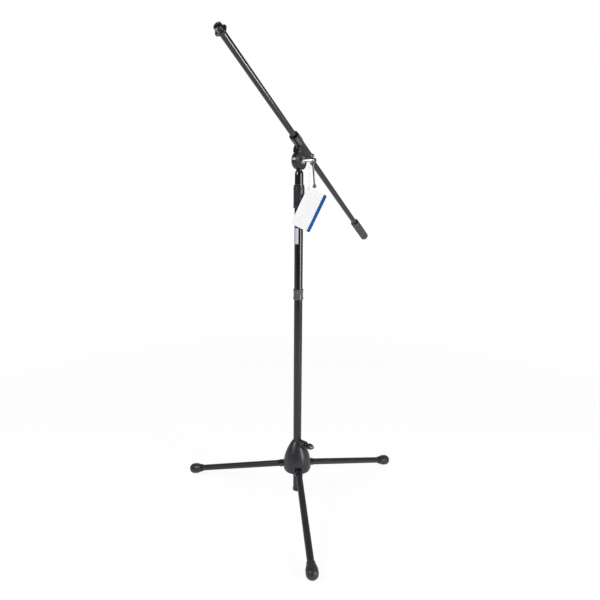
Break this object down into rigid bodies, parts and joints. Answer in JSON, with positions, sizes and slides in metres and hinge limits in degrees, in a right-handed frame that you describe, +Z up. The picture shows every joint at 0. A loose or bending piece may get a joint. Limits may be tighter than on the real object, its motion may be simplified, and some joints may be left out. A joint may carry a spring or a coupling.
{
  "type": "boom microphone stand",
  "caption": "Boom microphone stand with a folding tripod base, a telescoping mast with a twist clutch, and a tilting, sliding boom with a counterweight.",
  "frame": {"origin": "on the floor, under the axis of the mast", "axes": "+Z up along the mast, +X to the right and +Y away from the viewer in the picture"},
  "size_m": [0.5701, 0.6778, 1.0453],
  "materials": {
    "black_tube": "black baked enamel, satin gloss",
    "hub_plastic": "satin black moulded plastic",
    "black_plastic": "glossy black moulded plastic",
    "black_rubber": "smooth moulded rubber",
    "grey_cover": "fine cross pattern, matt",
    "bright_steel": "bright plating",
    "plain_steel": "plain turned steel",
    "nylon": "natural nylon",
    "fibre": "pressed fibre",
    "card": "coated card, blank, blue band on one edge"
  },
  "bodies": {
    "base": {"hub_housing": "hub_plastic", "hub_clamp_nut": "plain_steel", "leg_pins": "plain_steel"},
    "thumbscrew": {"hub_thumbscrew": "plain_steel", "thumbscrew_paddle": "black_plastic"},
    "leg_front": {"leg_tube_front": "black_tube", "leg_knuckle_front": "black_plastic", "foot_front": "black_rubber"},
    "leg_left": {"leg_tube_left": "black_tube", "leg_knuckle_left": "black_plastic", "foot_left": "black_rubber"},
    "leg_right": {"leg_tube_right": "black_tube", "leg_knuckle_right": "black_plastic", "foot_right": "black_rubber"},
    "mast": {"mast_lower_tube": "black_tube", "mast_end_cap": "black_plastic", "mast_coupling": "black_plastic", "mast_upper_tube": "black_tube", "clutch_body": "black_plastic"},
    "grip": {"clutch_grip": "black_plastic"},
    "collet": {"clutch_collet": "nylon"},
    "riser": {"riser_tube": "bright_steel", "riser_guide_plug": "nylon", "mast_head": "black_plastic", "clamp_nut": "bright_steel", "tilt_friction_disc": "fibre"},
    "holder": {"boom_holder": "hub_plastic", "clamp_washer": "bright_steel"},
    "clamp": {"clamp_bolt": "bright_steel"},
    "handle": {"clamp_handle": "bright_steel"},
    "liner": {"boom_liner": "black_plastic"},
    "boom": {"boom_tube": "black_tube", "tip_stud": "plain_steel", "counterweight": "plain_steel", "counterweight_cover": "grey_cover"},
    "lock_ring": {"tip_lock_ring": "black_plastic"},
    "tag": {"tag_card": "card", "tag_eyelet": "plain_steel", "tag_loop": "nylon"}
  },
  "joints": [
    {"name": "thumbscrew_turn", "type": "hinge", "parent": "base", "child": "thumbscrew", "pos_m": [0, 0, 0.158], "axis": [0.766, -0.6428, 0], "continuous": true},
    {"name": "leg_fold_front", "type": "hinge", "parent": "base", "child": "leg_front", "pos_m": [0.00251, -0.02387, 0.0955], "axis": [0.9945, 0.1045, 0], "range_deg": [0, 72]},
    {"name": "leg_fold_left", "type": "hinge", "parent": "base", "child": "leg_left", "pos_m": [-0.02193, 0.00976, 0.0955], "axis": [-0.4067, -0.9135, 0], "range_deg": [0, 72]},
    {"name": "leg_fold_right", "type": "hinge", "parent": "base", "child": "leg_right", "pos_m": [0.01942, 0.01411, 0.0955], "axis": [-0.5878, 0.809, 0], "range_deg": [0, 72]},
    {"name": "mast_slide", "type": "slide", "parent": "base", "child": "mast", "axis": [0, 0, 1], "range_m": [-0.012, 0.05]},
    {"name": "grip_turn", "type": "hinge", "parent": "mast", "child": "grip", "pos_m": [0, 0, 0.785], "axis": [0, 0, 1], "range_deg": [0, 120]},
    {"name": "head_swivel", "type": "hinge", "parent": "mast", "child": "collet", "pos_m": [0, 0, 0.785], "axis": [0, 0, 1], "continuous": true},
    {"name": "riser_slide", "type": "slide", "parent": "collet", "child": "riser", "axis": [0, 0, 1], "range_m": [0, 0.54]},
    {"name": "boom_tilt", "type": "hinge", "parent": "riser", "child": "holder", "pos_m": [0, 0, 0.836], "axis": [0.8788, -0.4772, 0], "range_deg": [-55, 100]},
    {"name": "clamp_bolt_turn", "type": "hinge", "parent": "riser", "child": "clamp", "pos_m": [0, 0, 0.836], "axis": [0.8788, -0.4772, 0], "range_deg": [0, 300]},
    {"name": "handle_slide", "type": "slide", "parent": "clamp", "child": "handle", "axis": [-0.091, -0.1677, 0.9816], "range_m": [0, 0.0454]},
    {"name": "boom_spin", "type": "hinge", "parent": "holder", "child": "liner", "pos_m": [0.00907, 0.01146, 0.86094], "axis": [-0.4132, -0.7611, 0.5], "continuous": true},
    {"name": "boom_slide", "type": "slide", "parent": "liner", "child": "boom", "axis": [-0.4132, -0.7611, 0.5], "range_m": [-0.18, 0.25]},
    {"name": "lock_ring_turn", "type": "hinge", "parent": "boom", "child": "lock_ring", "pos_m": [-0.13143, -0.2473, 1.03094], "axis": [-0.4132, -0.7611, 0.5], "continuous": true},
    {"name": "tag_swing", "type": "hinge", "parent": "riser", "child": "tag", "pos_m": [0, 0, 0.836], "axis": [-0.8788, 0.4772, 0], "range_deg": [0, 12]}
  ]
}
